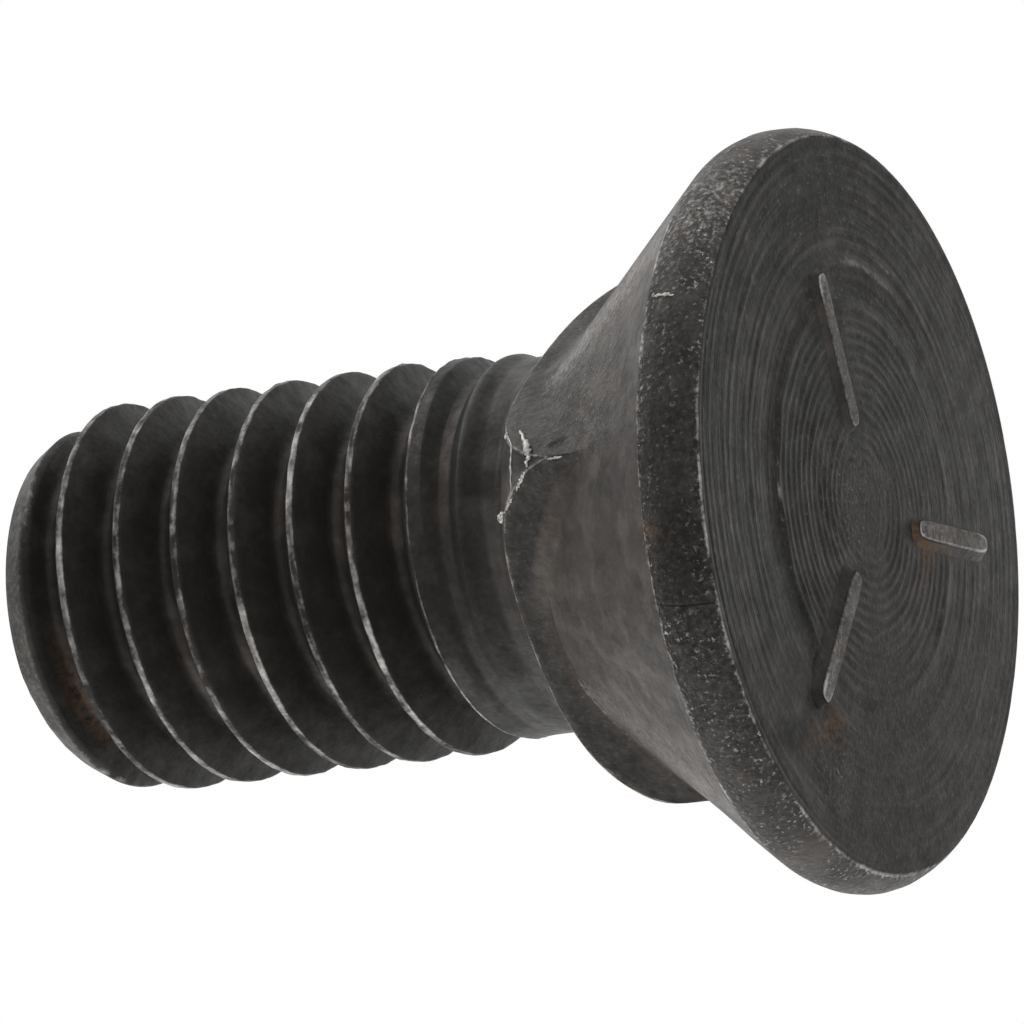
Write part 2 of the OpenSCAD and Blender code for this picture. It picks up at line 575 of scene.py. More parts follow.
def tidy_cells(quads):
    """Groups of faces: cells without area are dropped, and those with a collapsed side lose a corner."""
    groups = []
    quads = quads[~((quads[:, 0] == quads[:, 3]) & (quads[:, 1] == quads[:, 2]))]
    for gone, twin in ((3, 0), (2, 1), (0, 1), (3, 2)):
        same = quads[:, gone] == quads[:, twin]
        groups.append(np.delete(quads[same], gone, axis=1))
        quads = quads[~same]
    return groups + [quads]


H = head_rows.shape[0]
head_index = np.arange(H * N).reshape(H, N)
head_index[0] = head_index[0, 0]
E = tip_rows.shape[0]
tip_index = H * N + np.arange(E * N).reshape(E, N)
tip_index[-1] = tip_index[-1, 0]

own = (H + E) * N + np.cumsum(on_shank).reshape(on_shank.shape) - 1
thread_index = np.where(on_shank, own, np.where(thread_z < LENGTH / 1.5, head_index[-1], tip_index[0]))
seam = np.roll(thread_index[:, 0], -ROWS)
seam_cells = cells(thread_index[:-ROWS, -1:], seam[:-ROWS, None])
quads = np.concatenate([
    grid_cells(head_index),
    cells(thread_index[:, :-1], thread_index[:, 1:]),
    seam_cells,
    grid_cells(tip_index),
])
body_faces = tidy_cells(quads)

thread_points = polar(np.stack([thread_r, thread_z], 1))[on_shank.ravel()]
body_points = np.concatenate([polar(head_rows), polar(tip_rows), thread_points])
print(len(body_points), "points and", sum(map(len, body_faces)), "faces in the skin")


# %% Put a surface into a mesh
def mesh_piece(name, points, groups, marks):
    """A smooth object at the origin from points in millimetres and groups of equal-sided faces. Points
    that no face uses are left out, and marks gives one named number for each point."""
    corners = np.concatenate([group.ravel() for group in groups])
    used, corners = np.unique(corners, return_inverse=True)
    sides = np.concatenate([np.full(len(group), group.shape[1]) for group in groups])
    mesh = bpy.data.meshes.new(name)
    mesh.vertices.add(len(used))
    mesh.loops.add(len(corners))
    mesh.polygons.add(len(sides))
    mesh.vertices.foreach_set("co", (points[used] * MM).astype(np.float32).ravel())
    mesh.loops.foreach_set("vertex_index", corners.astype(np.int32))
    mesh.polygons.foreach_set("loop_start", (np.cumsum(sides) - sides).astype(np.int32))
    mesh.update(calc_edges=True)
    mesh.validate()
    mesh.shade_smooth()
    for mark, values in marks.items():
        layer = mesh.attributes.new(mark, "FLOAT", "POINT")
        layer.data.foreach_set("value", values[used].astype(np.float32))
    piece = bpy.data.objects.new(name, mesh)
    bpy.context.collection.objects.link(piece)
    return piece


# %% [markdown]
# ## Where the finish has worn
# Black oxide rubs off where the bolt touches its neighbours: on the rim's two edges, the thread's
# crests and the shoulder's edge. Rust starts where oil is gone. Painting this by hand would be lost
# if a size changed, so wear, rust, pitting, turned rings and tones are numbers worked out at each
# point. Each part of the bolt has its own function, and at a point the largest number counts.

# %% Where each point lies
# Besides real wear and tone, the wear mark holds painted highlights on the countersink, the pale mark holds
# a painted reflection on the rim and painted highlights, and pale and dull hold painted shade in the dent.
MARKS = ("wear", "rust", "pit", "turned", "pale", "brown", "dull")


def places(points):
    """For each point its direction, radius and height, its place along the picture's two axes, its turns
    along the groove, the part of the bolt that it is on, and a quick ripple that makes wear uneven."""
    x, y, z = points.T
    at = SimpleNamespace(x=x, y=y, z=z, angle=np.arctan2(y, x), radius=np.hypot(x, y))
    at.way = np.remainder(at.angle, 2 * np.pi)
    at.right, at.upward = seen_axes(x, y)
    at.turn, at.off = groove_turns(at.angle, z)
    at.face = (z < 0.25) & (at.radius < FACE_R - 0.03)
    at.rim = (z <= RIM_H - 0.03) & ~at.face
    at.under = ~at.face & ~at.rim & ((z < PLAIN_TOP + 0.05) | (at.turn < 0.02))
    at.thread = ~at.face & ~at.rim & ~at.under
    at.uneven = ripple(at.angle, z * 2, 31, 60, 0.4)
    return at


body_at = places(body_points)
print({part: int(getattr(body_at, part).sum()) for part in ("face", "rim", "under", "thread")}, "points")

# %% Marks of the rim
RIM_RUBBED = 262
FACE_EDGE_RUBBED = 145
# Direction of the rim's painted dark middle; away from it the rim is painted paler, a painted reflection.
RIM_SHADED_MIDDLE = 203
SMOOTH_RIM = (math.radians(194.5), math.radians(196), 4.1, 4.4)


def rim_marks(at):
    """Wear is a bell of the distance from each of the rim's two edges. Pitting grows towards both edges
    and is weaker on one stretch. The rim is painted paler the further it is from its dark middle, a
    painted reflection that is dark in one direction and light at right angles to it."""
    low_edge = hill(np.hypot(FACE_R - at.radius, at.z), 0, 0.07)
    high_edge = hill(np.hypot(HEAD_R - at.radius, at.z - RIM_H), 0, 0.10)
    rubbed = bell(at.angle, RIM_RUBBED, 0.3)
    wear = low_edge * (0.55 + 0.27 * at.uneven + 0.2 * bell(at.angle, FACE_EDGE_RUBBED, 0.7))
    wear = wear + high_edge * (0.46 + 0.27 * at.uneven)
    coarse = 1 - band(*SMOOTH_RIM, at.way)
    # Painted reflection: 0 at the rim's dark middle and 1 at its two ends, where the rim is painted paler.
    ends = np.abs(np.sin(at.angle - math.radians(RIM_SHADED_MIDDLE)))
    pit = 0.18 + 0.32 * coarse + 0.20 * ends + 0.3 * rubbed
    pit = pit + 0.50 * hill(at.z, RIM_H, 0.30) + 0.35 * hill(at.z, 0, 0.35)
    return {
        "wear": most(wear, 0.40 * at.rim * rubbed),
        "pit": most(at.rim * pit, 0.9 * high_edge),
        "pale": at.rim * (0.03 * coarse + 1.6 * ends ** 2.5),
    }


on_rim = rim_marks(body_at)
print("mean wear of the rim:", round(float(on_rim["wear"][body_at.rim].mean()), 3))


# %% Marks of the countersink and neck
# Directions of the countersink's two painted highlight streaks and of a painted highlight at its edge.
UPPER_HIGHLIGHT = 258
LOWER_HIGHLIGHT = 160
BLEND_HIGHLIGHT = 256
CONE_PITTED = 250


def neck_marks(at):
    """The underside is pale, apart from one flat and the foot of the first ridge, which is painted darker
    as painted shade. Two streaks run down the countersink as bells of the direction. They are painted
    highlights laid as bare steel with a brown tint, and so is a painted highlight where the countersink
    meets one flat. The shoulder's edge is worn, and the pushed-over lip is brown."""
    past_flat = np.maximum(np.abs(at.x), np.abs(at.y)) - NECK_HALF
    past_cone = at.z - RIM_H - (HEAD_R - at.radius) / CONE_TAN
    on_flat = (np.abs(past_flat) < 0.05) & at.under
    on_cone = at.under & (past_cone < 0.1) & (at.z > RIM_H + 0.15)
    broad = broad_share(at.way)
    blended = broad * (np.abs(past_cone) < 0.35) * step(2.6, 3.4, at.z) * (at.z < neck_start)
    lip_side = lip_share(at.way) * at.under * (past_flat < 0.25) * band(-0.05, 0.08, 0.35, 0.60, past_cone)
    edge_gap = shoulder_height(np.clip(at.radius, 5.3, NECK_R - 0.01)) - at.z
    shoulder = hill(edge_gap, 0, 0.085) * on_flat * (at.z > arc_z)
    # Painted highlights: two bright streaks down the countersink, laid as wear and brown.
    highlight_streak = 0.48 * bell(at.angle, UPPER_HIGHLIGHT, 0.20) + 0.42 * bell(at.angle, LOWER_HIGHLIGHT, 0.26)
    highlight_streak = on_cone * highlight_streak
    # Painted highlight where the countersink meets one flat, laid as wear.
    rubbed = blended * bell(at.angle, BLEND_HIGHLIGHT, 0.18)
    pitted = on_cone * bell(at.angle, CONE_PITTED, 0.22) * step(2.6, 3.2, at.z)
    one_flat = on_flat * (1 - broad)
    dark_flat = one_flat * step(0.02, 0.12, edge_gap) * (1 - lip_side)
    # Painted shade: the wall at the foot of the first ridge is painted darker.
    shaded_ridge_foot = band(-1.42, -1.26, -1.0, -0.9, first_turn(at.angle, at.z)[1]) * (at.z > 8.5)
    pale = at.under * (0.95 - 0.78 * dark_flat - 0.65 * broad * step(4.2, 5.4, at.z))
    return {
        "wear": most(shoulder * (0.52 + 0.2 * at.uneven), highlight_streak, 0.36 * rubbed),
        "pit": most(0.34 * at.under * blended, (0.08 + 0.12 * broad) * on_flat, 0.45 * pitted),
        "pale": pale * (1 - 0.8 * shaded_ridge_foot),
        "brown": most(0.55 * lip_side, 1.5 * highlight_streak, 0.6 * one_flat * (1 - step(0.25, 0.45, past_cone))),
        "dull": 0.12 * on_flat,
    }


on_neck = neck_marks(body_at)
print("mean wear of the neck:", round(float(on_neck["wear"][body_at.under].mean()), 3))


# %% Marks of the thread
FADED_HIGHLIGHT = 248
FIRST_CREST_PALE = 245
TIP_RUSTED = 165


def thread_marks(at):
    """Wear is a bell of the distance from the groove's edges, and covers thin crests and the tip's bevel.
    The groove's faded end is painted pale, a painted highlight strongest in one direction, with a brown
    tint. The first crest and strips of the groove's bottom are pale or brown."""
    aside = np.abs(at.off)
    half = groove_half(at.turn)
    whole = at.z < LENGTH - 0.9
    crest = hill(aside - half, 0.035, 0.045) * (at.turn > 0.03) * whole
    crest = crest * (step(0.5, 1.0, at.turn) * 0.65 + 0.35)
    flat_half = PITCH / 2 - groove_half(np.where(at.off > 0, at.turn, at.turn - 1))
    thin = step(-0.02, 0.03, aside - half) * (1 - step(0.12, 0.2, flat_half)) * whole
    crest = most(crest, 0.9 * thin)
    rubbed = step(-0.2, 1.3, ripple(at.angle, at.z * 1.1, 41, 9, 0.4))
    first_crest = np.where(at.off > 0, at.turn < 0.9, (at.turn > 0.9) & (at.turn < 1.9))
    first_crest = first_crest * bell(at.angle, FIRST_CREST_PALE, 0.35) * step(0.0, 0.05, aside - half)

    bevel_gap = at.radius - TIP_R - (LENGTH - at.z) * TIP_TAN
    bevel = step(-0.10, -0.03, bevel_gap) * (at.z < LENGTH - 0.02)
    bevel_edge = bevel * step(THREAD_R - 0.14, THREAD_R - 0.02, at.radius)
    bevel_lip = hill(bevel_gap, -0.05, 0.05) * step(TIP_R + 0.1, TIP_R + 0.3, at.radius)
    bevel_edge = most(bevel_edge, bevel_lip)
    # Painted highlight: the floor of the groove's faded end is painted pale, most in one direction, and
    # tinted brown.
    faded = (at.turn > 0.05) * (1 - step(0.35, 0.6, at.turn)) * (1 - step(0.10, 0.20, aside))
    faded = faded * (0.35 + 0.9 * bell(at.angle, FADED_HIGHLIGHT, 0.3))
    strips = step(0.0, 0.9, ripple(at.angle, at.z * 1.2, 37, 14, 0.5))
    strips = strips * (1 - step(0.10, 0.24, aside)) * (at.turn > 0.6)
    near_tip = step(21.6, 22.0, at.z) * bell(at.angle, TIP_RUSTED, 0.45)
    near_tip = near_tip * band(-0.5, -0.2, 0.25, 0.45, at.off)

    crest = crest * (0.45 + 0.19 * at.uneven + 0.26 * rubbed)
    wear = most(crest, (0.55 + 0.25 * at.uneven) * bevel_edge, 0.30 * bevel, 0.30 * first_crest)
    pale = 0.15 - 0.12 * (at.turn < 0.9) + 0.6 * faded + 0.5 * bevel + 0.35 * strips + 0.5 * first_crest
    brown = most(0.40 * faded, 0.45 * strips)
    marks = {"wear": wear, "rust": 0.5 * near_tip, "pale": pale, "brown": brown}
    return {name: at.thread * values for name, values in marks.items()}


on_thread = thread_marks(body_at)
print("mean wear of the thread:", round(float(on_thread["wear"][body_at.thread].mean()), 3))


# %% Stains and tones of the face
STAIN = (-6.3, 3.2)
STAIN_WAY = (0.963, 0.269)
SHORT_LINE_FOOT = (2.55, 3.1)


def blot(at, right, upward, size):
    """1 at a place along the picture's two axes, falling off as a bell over a size."""
    return hill(np.hypot(at.right - right, at.upward - upward), 0, size)


def face_stains(at):
    """Rust as a long bell laid across the dent, and a round one at the foot of the short line."""
    x, y = at.x - STAIN[0], at.y - STAIN[1]
    along = STAIN_WAY[0] * x + STAIN_WAY[1] * y
    across = STAIN_WAY[0] * y - STAIN_WAY[1] * x
    foot = np.hypot(at.x - SHORT_LINE_FOOT[0], at.y - SHORT_LINE_FOOT[1])
    return most(0.9 * hill(along, 0, 0.95) * hill(across, 0, 0.36), 0.5 * hill(foot, 0, 0.45))


def ring_tones(at, low):
    """Pale crests of the turned rings, a painted highlight along their crests: the rings times a slow
    ripple, weaker on one side, low on the face and beside the strength lines."""
    # Painted highlight on the ring crests, as a slow ripple.
    ring_highlight = np.clip(0.7 + 0.5 * ripple(at.angle, at.radius * 2, 43, 8, 0.4), 0, 1.4)
    ring_highlight = ring_highlight * (1 - 0.8 * bell(at.angle, 15, 0.8)) * (1 - 0.6 * low) * step(0.5, 2.0, at.radius)
    return ring_highlight * turned_rings(at.radius, at.angle) * step(0.25, 0.6, line_gap(at.x, at.y))


rusted_points = body_at.face & (face_stains(body_at) > 0.3)
print(int(rusted_points.sum()), "points of the face are rusted")


# %% Marks of the face
LOW_PITTED = (-4.0, -6.95)
MIDDLE_PITTED = (-0.9, 0.2)
BROWN_AT = (2.4, -2.8)
DULL_AT = (-0.5, 0.0)


def face_marks(at):
    """Sums of bells and steps along the picture's two axes: the dent is painted dark, a painted shade, with
    a painted shadow along one edge, and the low part is plain and brown. One side is painted paler and
    glossier, a painted sheen. The far edge and two arcs are worn, and the middle and the top are dull."""
    # Painted shade: the dent and a shadow along its edge get a darker tone and lower gloss.
    shaded_dent = 1 - step(0.85, 1.1, np.hypot((at.right + 5.0) / 1.8, (at.upward + 6.0) / 1.1))
    dent_shadow = np.exp(-np.hypot((at.right + 6.25) / 1.25, (at.upward + 5.75) / 0.65) ** 4)
    shaded_hollow = most(shaded_dent, dent_shadow)
    low = step(2.6, 4.6, -at.upward) * (1 - shaded_hollow)
    # Painted sheen: one side of the face is painted paler and glossier.
    painted_sheen_side = step(3, 7, at.right) * step(-4, -1, at.upward)
    fringe = hill(at.radius, FACE_R, 0.16) * step(2, 7, at.right)
    ring = hill(at.radius, RIDGE_RING, 0.10) * bell(at.angle, 225, 0.8)
    arcs = bell(at.angle, 312, 0.42) * hill(at.radius, 6.6, 0.16)
    arcs = arcs + 0.8 * bell(at.angle, 325, 0.5) * hill(at.radius, 7.05, 0.10)
    channel = band(5.45, 5.65, 6.05, 6.3, at.radius) * bell(at.angle, 240, 0.9)

    wear = most(ring * (0.30 + 0.15 * at.uneven), arcs * (0.40 + 0.14 * at.uneven))
    wear = most(wear, fringe * (0.25 + 0.12 * at.uneven))
    pit = most(0.6 * blot(at, *LOW_PITTED, 0.9), 0.5 * blot(at, *MIDDLE_PITTED, 1.5), 0.08 * low)
    pale = (0.36 * ring_tones(at, low) + 0.45 * arcs) * (1 - most(dent_shadow, 0.6 * shaded_dent))
    pale = pale + 0.8 * fringe + 0.12 * painted_sheen_side
    brown = most(0.35 * blot(at, *BROWN_AT, 2.6), 0.20 * low)
    dull = 0.35 * step(-7, -1, at.right) * (1 - painted_sheen_side) + 0.65 * step(-1, 8, at.upward)
    dull = dull + 0.8 * brown + 0.75 * channel + 0.42 * blot(at, *DULL_AT, 2.5)
    dull = dull + 0.50 * step(0.5, 5.0, -at.upward) * (1 - step(0, 5, at.right))
    dull = most(0.67 * np.clip(dull, 0, 1), dent_shadow, 0.5 * shaded_dent)
    plain = most(0.4 * step(2, 6, -at.upward), 0.35 * step(1, 6, at.right))
    turned = 1 - most(0.8 * shaded_hollow, plain)
    marks = (wear, face_stains(at), pit, turned, pale, brown, dull)
    return {name: at.face * values for name, values in zip(MARKS, marks)}


on_face = face_marks(body_at)
print("mean wear of the face:", round(float(on_face["wear"][body_at.face].mean()), 3))


# %% The dressed skin
def join_marks(*parts):
    """At each point the largest number that the parts give, held between 0 and 1."""
    none = np.zeros(len(body_points))
    largest = {name: most(*(part.get(name, none) for part in parts)) for name in MARKS}
    return {name: np.clip(values, 0, 1) for name, values in largest.items()}


skin_marks = join_marks(on_rim, on_neck, on_thread, on_face)
print("mean marks:", {name: round(float(values.mean()), 3) for name, values in skin_marks.items()})
bolt = mesh_piece("bolt_body", body_points, body_faces, skin_marks)
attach(bolt, "root")
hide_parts("plow_bolt")
print(len(bolt.data.polygons), "faces,", len(bolt.data.loop_triangles), "triangles")

# %% [markdown]
# ## Strength lines
# Three raised lines on the face are a common sign for the strength of the steel. They are forged with
# the head, so their sides slope for the die and their feet blend into the face. Each is a rounded
# outline carried from a foot sunk in the face to a flat top, so no open edge shows.

# %% Raise the three lines
LINE_H = 0.21
LINE_SLOPES = np.array([(0.06, 0.30), (0.42, 0.10), (0.26, 0.12)])
LINE_RISES = (0.72, 1.0, 1.0)
END_SLOPE = 0.16
SLOPE_SHARES = np.array([1.3, 1.1, 0.8, 0.5, 0.22, 0.06, -0.05, -0.30])
SLOPE_HEIGHTS = np.array([0.32, 0.01, -0.025, -0.085, -0.16, -0.19, -0.205, -LINE_H])
OUTLINE = 72


def squared(value, power):
    """The size of a value to a power below 1, with its sign kept: a circle's cosine and sine become the
    sides of a rounded rectangle."""
    return np.sign(value) * np.abs(value) ** power


def strength_line(ends, slopes, rise):
    """A rounded rectangle, widened by a share of each side's slope at each height, then laid between its
    two ends. Heights above the face are scaled by the rise. Also gives the share of the length at each
    point, and whether it is on the left side."""
    start, end = ends
    length = np.linalg.norm(end - start)
    way = (end - start) / length
    turn = np.arange(OUTLINE) * (2 * np.pi / OUTLINE)
    share = SLOPE_SHARES[:, None]
    slope = np.where(np.sin(turn) > 0, slopes[0], slopes[1])
    along = squared(np.cos(turn), 0.25) * (length / 2 + END_SLOPE * share) + length / 2
    side = squared(np.sin(turn), 0.5) * (LINE_W / 2 + slope * share)
    x = start[0] + along * way[0] - side * way[1]
    y = start[1] + along * way[1] + side * way[0]
    z = np.where(SLOPE_HEIGHTS < 0, rise * SLOPE_HEIGHTS, SLOPE_HEIGHTS)
    return np.stack([x, y, z[:, None] + 0 * x], -1), along / length + 0 * x, side > 0


made = [strength_line(*line) for line in zip(LINE_ENDS, LINE_SLOPES, LINE_RISES)]
line_points, line_along, line_left = map(np.stack, zip(*made))
LINE_COUNT, RINGS = line_points.shape[:2]
line_index = np.arange(LINE_COUNT * RINGS * OUTLINE).reshape(LINE_COUNT, RINGS, OUTLINE)
line_sides = np.concatenate([grid_cells(index)[:, ::-1] for index in line_index])
line_caps = np.concatenate([line_index[:, -1, ::-1], line_index[:, 0]])
print(LINE_COUNT, "lines with", RINGS, "rings of", OUTLINE, "points each")

# %% Wear of the lines
SHORT_ONE = np.array([0, 0, 1])[:, None, None]
WALL_PALE = np.array([0.5, 0.15, 0.3])[:, None, None]
WALL_BROWN = np.array([0.0, 0.1, 0.9])[:, None, None]

raised = step(0.15, 0.20, -SLOPE_HEIGHTS)[:, None] + 0 * line_along
edge = raised * (SLOPE_HEIGHTS > -0.207)[:, None]
tips = step(0.80, 0.92, line_along) + 0.7 * (1 - step(0.0, 0.06, line_along))
wall = (1 - raised) * line_left * SHORT_ONE
scuffed = wall * step(0.30, 0.55, line_along)
rusted = wall * (1 - step(0.20, 0.50, line_along))
short_edge = edge * SHORT_ONE * most(line_left, line_along > 0.96)
smooth = most(raised, scuffed)
line_wear = raised * (0.22 + 0.26 * tips) + edge * (0.18 + 0.2 * tips)
line_marks = {
    "wear": line_wear + 0.30 * scuffed + 0.22 * short_edge,
    "rust": 0.85 * rusted,
    "pit": 0.3 * raised,
    "turned": 0 * raised + 0.4,
    "pale": most(WALL_PALE, smooth),
    "brown": WALL_BROWN * (1 - smooth),
    "dull": 0 * raised + 0.27,
}
line_marks = {name: values.ravel() for name, values in line_marks.items()}
lines = mesh_piece("strength_lines", line_points.reshape(-1, 3), [line_sides, line_caps], line_marks)
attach(lines, "root")
print("each line has", len(lines.data.polygons) // LINE_COUNT, "faces")


# %% [markdown]
# ## Burrs
# A knock on one corner of the neck has torn up bright burrs, and the rim has a short one. Sculpting
# would bury them in the skin, so each is a thin tube of changing width, half sunk along the knock's
# path. The path is given as direction, radius and height, because it lies on a turned form.

# %% Lay the burrs
BURRS = (
    (0.036, ((236, 6.55, 7.49), (230.2, 7.07, 7.01), (224.7, 7.09, 6.99), (220.3, 7.09, 6.99))),
    (0.105, (
        (235, 6.70, 7.00), (231.3, 6.98, 6.67), (227.9, 7.34, 6.37),
        (225.7, 7.50, 6.25), (223.9, 7.47, 6.32),
    )),
    (0.062, ((223.2, 7.43, 6.38), (221.4, 7.27, 6.60), (220.1, 7.13, 6.82))),
    (0.045, ((218.9, 7.00, 7.00), (217.5, 6.87, 7.18), (216.1, 6.64, 7.46))),
    (0.095, ((216.4, 6.60, 7.50), (215.4, 6.35, 7.70), (214.8, 6.05, 7.86))),
    (0.060, ((235.6, 6.62, 7.42), (234.6, 6.64, 7.44), (233.4, 6.74, 7.36))),
    (0.036, ((224.6, 7.64, 5.62), (224.6, 7.66, 5.40), (224.7, 7.67, 5.15))),
    (0.055, ((243.6, 10.26, 1.45), (243.5, 10.31, 1.24), (243.3, 10.34, 1.02), (243.1, 10.345, 0.80))),
)
BURR_STEPS = 40
BURR_SIDES = 8


def burr(width, path, seed):
    """Circles of a radius that rises from 0, wavers and falls to 0, set across a path through the given
    points. Each circle is flattened on the side that faces away from the axis."""
    direction, radius, height = np.array(path).T
    share = np.linspace(0, 1, BURR_STEPS)
    knots = np.linspace(0, 1, len(path))
    turn = np.radians(np.interp(share, knots, direction))
    reach_out = np.interp(share, knots, radius) + 0.01
    rise = np.interp(share, knots, height)
    middle = np.stack([reach_out * np.cos(turn), reach_out * np.sin(turn), rise], -1)
    along = np.gradient(middle, axis=0)
    along = along / np.linalg.norm(along, axis=1, keepdims=True)
    out = np.stack([np.cos(turn), np.sin(turn), 0.5 + 0 * turn], -1)
    across = np.cross(along, out)
    across = across / np.linalg.norm(across, axis=1, keepdims=True)
    out = np.cross(across, along)
    size = width * np.sin(np.pi * np.clip(share, 0.02, 0.98)) ** 0.5
    size = size * np.clip(1 + 0.35 * ripple(2 * np.pi * share, 0 * share, seed, 9, 0.4), 0.4, 1.6)
    wander = 0.35 * width * ripple(2 * np.pi * share, 0 * share, seed + 50, 6, 0.4)
    middle = middle + across * wander[:, None]
    spin = np.arange(BURR_SIDES) * (2 * np.pi / BURR_SIDES)
    ring = np.cos(spin)[:, None] * across[:, None] + 0.7 * np.sin(spin)[:, None] * out[:, None]
    return middle[:, None] + size[:, None, None] * ring


FIRST_SEED = 60

burr_points = np.stack([burr(width, path, FIRST_SEED + i) for i, (width, path) in enumerate(BURRS)])
burr_index = np.arange(burr_points[..., 0].size).reshape(burr_points.shape[:3])
burr_sides = np.concatenate([grid_cells(index) for index in burr_index])
burr_caps = np.concatenate([burr_index[:, 0], burr_index[:, -1, ::-1]])
bright = np.ones(burr_index.size)
burr_marks = {name: 0 * bright for name in MARKS}
burr_marks.update({"wear": 0.9 * bright, "pale": bright})
burrs = mesh_piece("burrs", burr_points.reshape(-1, 3), [burr_sides, burr_caps], burr_marks)
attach(burrs, "root")
print(len(BURRS), "burrs of", len(burrs.data.polygons) // len(BURRS), "faces")


# %% [markdown]
# ## Black oxide
# The finish is a thin black skin grown on the steel, kept dark by oil. Looked at squarely it is nearly
# black, and at a low angle it mirrors the pale room, which is what tells the forms apart. So the
# shader's own reflection does most of the work: a very dark base with a low specular level. Noise
# breaks up tone, gloss and height, and the numbers at each point bring out bare steel and rust, and
# also painted highlights, a painted reflection on the rim and painted shade in the dent.

# %% A short way to add nodes
def start_nodes(holder):
    """Empties the node tree of a material or a world. Returns add(kind, inputs, settings), which makes a
    node there and links or sets each input."""
    holder.use_nodes = True
    tree = holder.node_tree
    tree.nodes.clear()

    def add(kind, inputs=None, **settings):
        made = tree.nodes.new(kind)
        for key, value in settings.items():
            setattr(made, key, value)
        for key, value in (inputs or {}).items():
            if isinstance(value, bpy.types.NodeSocket):
                tree.links.new(value, made.inputs[key])
            else:
                made.inputs[key].default_value = value
        return made

    return add


# %% Start the finish
black_oxide = bpy.data.materials.new("black_oxide")
add = start_nodes(black_oxide)
place = add("ShaderNodeTexCoord").outputs["Object"]
print("the finish reads its", place.name, "coordinates")


# %% Short helpers for nodes
def reach(value, low, high, to_low=0.0, to_high=1.0):
    """Maps low to high onto to_low to to_high, and holds it there outside."""
    inputs = {"Value": value, "From Min": low, "From Max": high, "To Min": to_low, "To Max": to_high}
    return add("ShaderNodeMapRange", inputs).outputs["Result"]


def work(operation, a, b):
    """One operation on two numbers."""
    return add("ShaderNodeMath", {0: a, 1: b}, operation=operation).outputs[0]


def times(a, b):
    """The product of two numbers."""
    return work("MULTIPLY", a, b)


def arrow(operation, *inputs, output="Vector"):
    """One operation on places or directions."""
    return add("ShaderNodeVectorMath", dict(enumerate(inputs)), operation=operation).outputs[output]


def blend(share, a, b):
    """Colour a, with a share of colour b."""
    return add("ShaderNodeMix", {0: share, 6: a, 7: b}, data_type="RGBA").outputs[2]


def mark(name):
    """A number kept at each point of the piece."""
    return add("ShaderNodeAttribute", attribute_name=name).outputs["Fac"]


def spot(centre, size):
    """1 at a place on the bolt, falling to 0 at a distance from it, both in millimetres."""
    gap = arrow("DISTANCE", place, Vector(centre) * MM, output="Value")
    return reach(gap, 0.0, size * MM, 1.0, 0.0)


# %% Noise on the bolt
def noise(scale, detail, rough=0.55, where=place):
    """Noise on Object coordinates, which are metres: a scale of 1000 gives grains of a millimetre."""
    inputs = {"Vector": where, "Scale": scale, "Detail": detail, "Roughness": rough}
    return add("ShaderNodeTexNoise", inputs).outputs["Fac"]


broad = noise(420, 4)
fine = noise(1500, 5, 0.65)
grit = noise(5200, 4, 0.65)
grain = noise(6500, 4, 0.7)
cloudy = noise(1000, 3, 0.6)
dots = reach(noise(8000, 2, 0.6), 0.585, 0.675)
flat_place = arrow("MULTIPLY", place, (1, 1, 0))
from_axis = arrow("LENGTH", flat_place, output="Value")
way = arrow("NORMALIZE", flat_place)


def ring_noise(round_scale, out_scale):
    """Noise drawn out along circles about the axis: its place is the direction and the radius, scaled."""
    lifted = add("ShaderNodeCombineXYZ", {"Z": times(from_axis, out_scale)}).outputs[0]
    return noise(1.0, 2, 0.6, arrow("MULTIPLY_ADD", way, (round_scale, round_scale, 0), lifted))


rings = ring_noise(3.5, 5000.0)
dashes = ring_noise(34.0, 8500.0)
print(len(black_oxide.node_tree.nodes), "nodes of noise")

# %% Bare steel and rust
RIM_RUST_AT = (-9.06, -4.77, 1.53)

# Bare steel where the finish is worn; the same layer carries the countersink's painted highlights.
swing = times(reach(grain, 0.3, 0.7, -1.0, 1.0), reach(mark("pit"), 0.0, 1.0, 0.15, 0.50))
bare_and_sheen = reach(work("ADD", mark("wear"), swing), 0.30, 1.0)
specks = work("MAXIMUM", times(reach(grain, 0.58, 0.68), 0.45), dots)
specks = times(specks, times(mark("pit"), reach(fine, 0.41, 0.58)))
bare_and_sheen = work("MAXIMUM", bare_and_sheen, specks)
worn_rings = times(reach(dashes, 0.58, 0.72), reach(rings, 0.40, 0.62, 0.3, 1.0))
bare_and_sheen = work("MAXIMUM", bare_and_sheen, times(times(worn_rings, mark("turned")), 0.16))
rusty = times(mark("rust"), reach(work("ADD", fine, grit), 0.82, 1.12))
rim_rust = times(spot(RIM_RUST_AT, 0.5), reach(grit, 0.35, 0.75))
rusty = work("MAXIMUM", rusty, rim_rust)
print(len(black_oxide.node_tree.nodes), "nodes with bare steel and rust")

# %% A knock and a crack
KNOCK_AT = (-4.80, -5.45, 5.52)
CRACK_AT = (-9.92, -2.82, 0.85)
CRACK_WAY = (0.2756, -0.9613, -0.10)

knock = spot(KNOCK_AT, 0.40)
knock = reach(times(knock, reach(grit, 0.30, 0.60, 0.4, 1.0)), 0.20, 0.55)
crack_gap = arrow("DOT_PRODUCT", place, CRACK_WAY, output="Value")
crack = reach(work("ABSOLUTE", crack_gap, 0.0), 0.01 * MM, 0.05 * MM, 1.0, 0.0)
crack = times(crack, reach(spot(CRACK_AT, 0.95), 0.0, 0.3))
knock = work("MAXIMUM", knock, times(crack, 0.8))
print(len(black_oxide.node_tree.nodes), "nodes with the knock and the crack")

